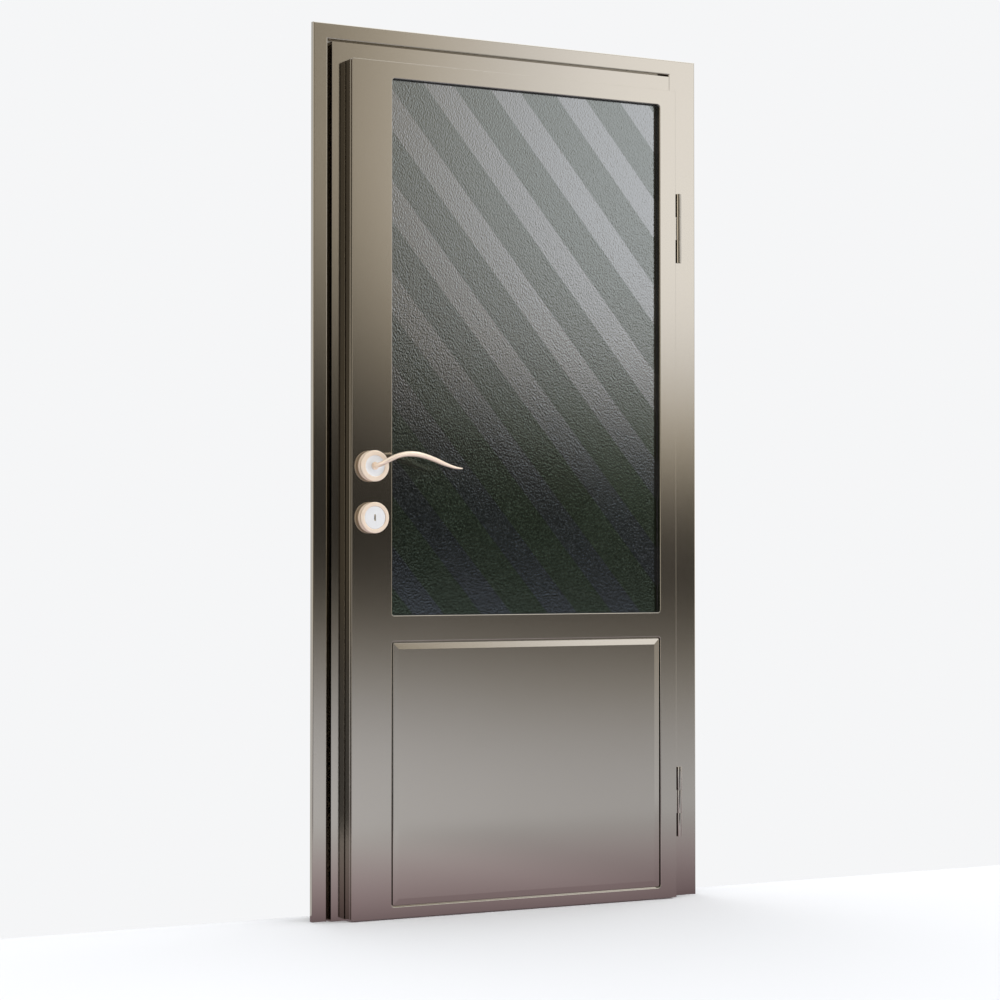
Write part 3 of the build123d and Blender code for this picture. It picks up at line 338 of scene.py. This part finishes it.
# Bare metals: darker and lighter colour, roughness, the grain's stretch and its scale
BARE_METALS = {
    "sill_metal": ((0.52, 0.51, 0.49), (0.62, 0.61, 0.58), 0.36, (0.05, 1.0, 1.0), 300.0),
    "spacer_metal": ((0.46, 0.47, 0.48), (0.56, 0.57, 0.58), 0.4, (1.0, 1.0, 1.0), 300.0),
    "cast_base": ((0.42, 0.42, 0.42), (0.52, 0.52, 0.52), 0.5, (1.0, 1.0, 1.0), 900.0),
    "lock_steel": ((0.46, 0.46, 0.46), (0.58, 0.58, 0.57), 0.34, (1.0, 1.0, 14.0), 300.0),
    "bright_steel": ((0.55, 0.56, 0.57), (0.68, 0.69, 0.70), 0.22, (1.0, 1.0, 1.0), 300.0),
    "cylinder_brass": ((0.62, 0.50, 0.28), (0.74, 0.60, 0.34), 0.26, (1.0, 9.0, 1.0), 300.0),
}
# Plastics: darker and lighter colour, roughness
PLASTICS = {
    "block_plastic": ((0.02, 0.02, 0.022), (0.05, 0.05, 0.052), 0.45),
    "insulation": ((0.62, 0.53, 0.30), (0.74, 0.65, 0.40), 0.8),
}


def make_finishes():
    """One material for each of the record's slots."""
    bronze = satin_bronze()
    return {
        "frame_metal": bronze,
        "leaf_metal": bronze,
        "hinge_metal": bronze,
        "galvanised_tube": galvanised(),
        "black_rubber": rubber(),
        "patterned_glass": patterned_glass(),
        "clear_glass": clear_glass(),
        "rose_gold": rose_gold(),
        "bright_disc": bright_disc(),
        **{name: plain_metal(name, *look) for name, look in BARE_METALS.items()},
        **{name: moulded(name, *look) for name, look in PLASTICS.items()},
    }


def dress_nodes(finishes):
    """Every CAD node takes its slot's material."""
    for entry in frame["record"]["subparts"]:
        mesh = nodes[entry["node"]].data
        mesh.materials.clear()
        mesh.materials.append(finishes[entry["material_slot"]])


# Floor: it ends just behind the door, lies a hair under it and is twice FLOOR_SIDE wide
FLOOR_FRONT = -9.0
FLOOR_BACK = 0.09
FLOOR_SIDE = 30.0
FLOOR_DROP = 0.0005
FLOOR_COLOUR = (0.79, 0.80, 0.82)
# What polished metal sees of it: only the part behind MIRRORED_FRONT, glowing more with the
# distance from the door, and a little less towards its right
MIRRORED_FRONT = -1.75
GLOW_DISTANCES = (0.05, 1.55)
GLOW_NEAR, GLOW_GAIN, GLOW_CURVE = 0.33, 0.66, 0.75
GLOW_COLOURS = ((1.16, 0.90, 1.04), (1.0, 1.0, 1.08))
GLOW_RIGHT, GLOW_RIGHT_LOSS = (0.25, 0.75), 0.18


def pale_floor():
    """Matt and pale; polished metal sees a glow instead, or nothing beyond the near part."""
    finish = Finish("pale_floor")
    finish.surface(Base_Color=FLOOR_COLOUR, Roughness=0.9, Specular_IOR_Level=0.0)
    place = finish.place()
    depth_place = finish.axis(place, "Y")
    away = (depth_place * -1.0).share(*GLOW_DISTANCES)
    aside = finish.axis(place, "X").between(*GLOW_RIGHT)
    glow = (GLOW_NEAR + away.power(GLOW_CURVE) * GLOW_GAIN) * (1.0 - aside * GLOW_RIGHT_LOSS)
    shine = finish.node(
        "ShaderNodeEmission", Color=finish.mixed(away, *GLOW_COLOURS), Strength=glow,
    )
    clear = finish.node("ShaderNodeBsdfTransparent")
    mirrored = finish.node(
        "ShaderNodeMixShader", _0=depth_place < MIRRORED_FRONT, _1=shine, _2=clear,
    )
    glossy = finish.node("ShaderNodeLightPath", output="Is Glossy Ray")
    matt = Value(finish.tree, finish.shader.outputs[0])
    blend = finish.node("ShaderNodeMixShader", _0=glossy, _1=matt, _2=mirrored)
    finish.feed(finish.tree.nodes["Material Output"].inputs["Surface"], blend)
    return finish.material


def make_floor():
    """A plain pale floor that keeps the door's shadow."""
    bm = bmesh.new()
    bmesh.ops.create_grid(bm, x_segments=1, y_segments=1, size=1.0)
    depth = FLOOR_BACK - FLOOR_FRONT
    middle = (0.0, (FLOOR_FRONT + FLOOR_BACK) / 2, -FLOOR_DROP)
    bmesh.ops.transform(
        bm,
        matrix=Matrix.Translation(middle) @ Matrix.Diagonal((FLOOR_SIDE, depth / 2, 1.0, 1.0)),
        verts=bm.verts,
    )
    mesh = bpy.data.meshes.new("floor")
    bm.to_mesh(mesh)
    bm.free()
    floor = bpy.data.objects.new("floor", mesh)
    bpy.context.scene.collection.objects.link(floor)
    mesh.materials.append(pale_floor())


# The studio, by direction: X right, Y into the wall, Z up, each from -1 to 1. A pair is where a
# soft edge starts and ends. The camera and the clear glass see the plain backdrop.
BACKDROP_COLOUR = (0.985, 0.99, 1.0)
BACKDROP_LIGHT = 0.93
# The door's flat faces mirror this arc from its left end to its right end
ARC = (0.408, 0.514)
HORIZON_LIGHT = 0.05
# Big light above the dark horizon; to the right its foot gets lower, its rise shorter and its
# level higher
LIGHT_FOOT, LIGHT_FOOT_LOSS = 0.036, 0.035
LIGHT_RISE, LIGHT_RISE_LOSS = 0.136, 0.031
LIGHT_LEVEL, LIGHT_LEVEL_GAIN = 0.47, 1.46
LIGHT_TOP, LIGHT_TOP_LOSS = (0.28, 0.40), 0.7
LIGHT_STRENGTH = 1.02
# Low glow under the horizon; to the right it starts lower and is weaker
LOW_FALL = (0.0, 0.090)
LOW_FOOT_LOSS = 0.004
LOW_LEVEL, LOW_LEVEL_LOSS = 1.06, 0.18
# To the right of the arc, and the dimmer left side with a bright strip at its far end
RIGHT_SIDE, RIGHT_LIGHT = (0.60, 0.74), 1.2
LEFT_SIDE, LEFT_LIGHT = (0.10, 0.34), 0.28
FAR_LEFT, FAR_LEFT_LIGHT = (0.70, 0.80), 1.3
# All of this fills a window in front of the door, about level with it; the rest is plain white
WINDOW_BACK = (-0.2, 0.0)
WINDOW_HEIGHT = (0.34, 0.56)
# Two narrow strips, high and low on the right, which draw the light lines on level edges
STRIP_HEIGHT = (0.62, 0.80)
STRIP_RIGHT = (0.25, 0.42)
STRIP_DEPTH = (0.25, 0.45)
STRIP_LIGHT = 2.2
# Tints: warm where the big light is dim, plain where it is full, cool in the low glow
WARM_RANGE, WARM_TINT, PLAIN_TINT = (0.75, 1.45), (1.05, 0.955, 0.81), (1.0, 1.0, 1.02)
COOL_RANGE, COOL_TINT = (0.1, 0.8), (1.0, 1.02, 1.11)


def make_world():
    """White behind the door; polished metal sees a dark horizon, a big light and a low glow."""
    world = bpy.data.worlds.new("studio")
    bpy.context.scene.world = world
    world.use_nodes = True
    graph = Graph(world.node_tree)
    direction = graph.node("ShaderNodeTexCoord", output="Generated")
    right = graph.axis(direction, "X")
    back = graph.axis(direction, "Y")
    up = graph.axis(direction, "Z")

    across = right.share(*ARC)
    rise = (up + across * LIGHT_FOOT_LOSS - LIGHT_FOOT) / (LIGHT_RISE - across * LIGHT_RISE_LOSS)
    level = LIGHT_LEVEL + across * LIGHT_LEVEL_GAIN
    high = rise.between(0.0, 1.0) * level * (1.0 - up.between(*LIGHT_TOP) * LIGHT_TOP_LOSS)
    fall = (up * -1.0 - across * LOW_FOOT_LOSS).between(*LOW_FALL)
    low = fall * (LOW_LEVEL - across * LOW_LEVEL_LOSS)
    faces = HORIZON_LIGHT + high * LIGHT_STRENGTH + low

    to_right = faces + (RIGHT_LIGHT - faces) * right.between(*RIGHT_SIDE)
    far_left = LEFT_LIGHT + (right * -1.0).between(*FAR_LEFT) * FAR_LEFT_LIGHT
    sides = far_left + (to_right - far_left) * right.between(*LEFT_SIDE)
    window = (1.0 - back.between(*WINDOW_BACK)) * (1.0 - abs(up).between(*WINDOW_HEIGHT))
    strip_middle = right.between(*STRIP_RIGHT) * (1.0 - abs(back).between(*STRIP_DEPTH))
    strip = abs(up).between(*STRIP_HEIGHT) * strip_middle
    seen = 1.0 + (sides - 1.0) * window + strip * STRIP_LIGHT
    warm = graph.mixed(high.share(*WARM_RANGE), WARM_TINT, PLAIN_TINT)
    tint = graph.mixed(low.share(*COOL_RANGE), warm, COOL_TINT)

    camera = graph.node("ShaderNodeLightPath", output="Is Camera Ray")
    through = graph.node("ShaderNodeLightPath", output="Is Transmission Ray")
    mirror = (1.0 - camera) * (1.0 - through)
    strength = (camera + through) * BACKDROP_LIGHT + mirror * seen
    background = graph.tree.nodes["Background"]
    graph.feed(background.inputs["Strength"], strength)
    graph.feed(background.inputs["Color"], graph.mixed(mirror * window, BACKDROP_COLOUR, tint))


def make_lamp(name, place, target, size, power):
    """A soft rectangular lamp that only lights: neither the camera nor the metal sees it."""
    lamp = bpy.data.lights.new(name, "AREA")
    lamp.shape = "RECTANGLE"
    lamp.size, lamp.size_y = size
    lamp.energy = power
    lamp_object = bpy.data.objects.new(name, lamp)
    bpy.context.scene.collection.objects.link(lamp_object)
    lamp_object.location = place
    aim = Vector(target) - Vector(place)
    lamp_object.rotation_euler = aim.to_track_quat("-Z", "Y").to_euler()
    lamp_object.visible_camera = False
    lamp_object.visible_glossy = False


# Lamps: place, the point they look at, size and power in watts
LAMPS = {
    "key": ((-2.6, -3.4, 3.6), (0.0, 0.0, 0.9), (2.4, 2.4), 28.0),
    "fill": ((3.0, -3.0, 2.6), (0.0, 0.0, 1.0), (2.4, 2.4), 22.0),
    "back": ((0.5, 3.6, 3.2), (0.0, 0.0, 1.0), (3.0, 2.0), 30.0),
}

make_camera()
make_world()
make_floor()
for lamp_name, lamp_setting in LAMPS.items():
    make_lamp(lamp_name, *lamp_setting)
dress_nodes(make_finishes())

bpy.context.scene.view_settings.view_transform = "Standard"
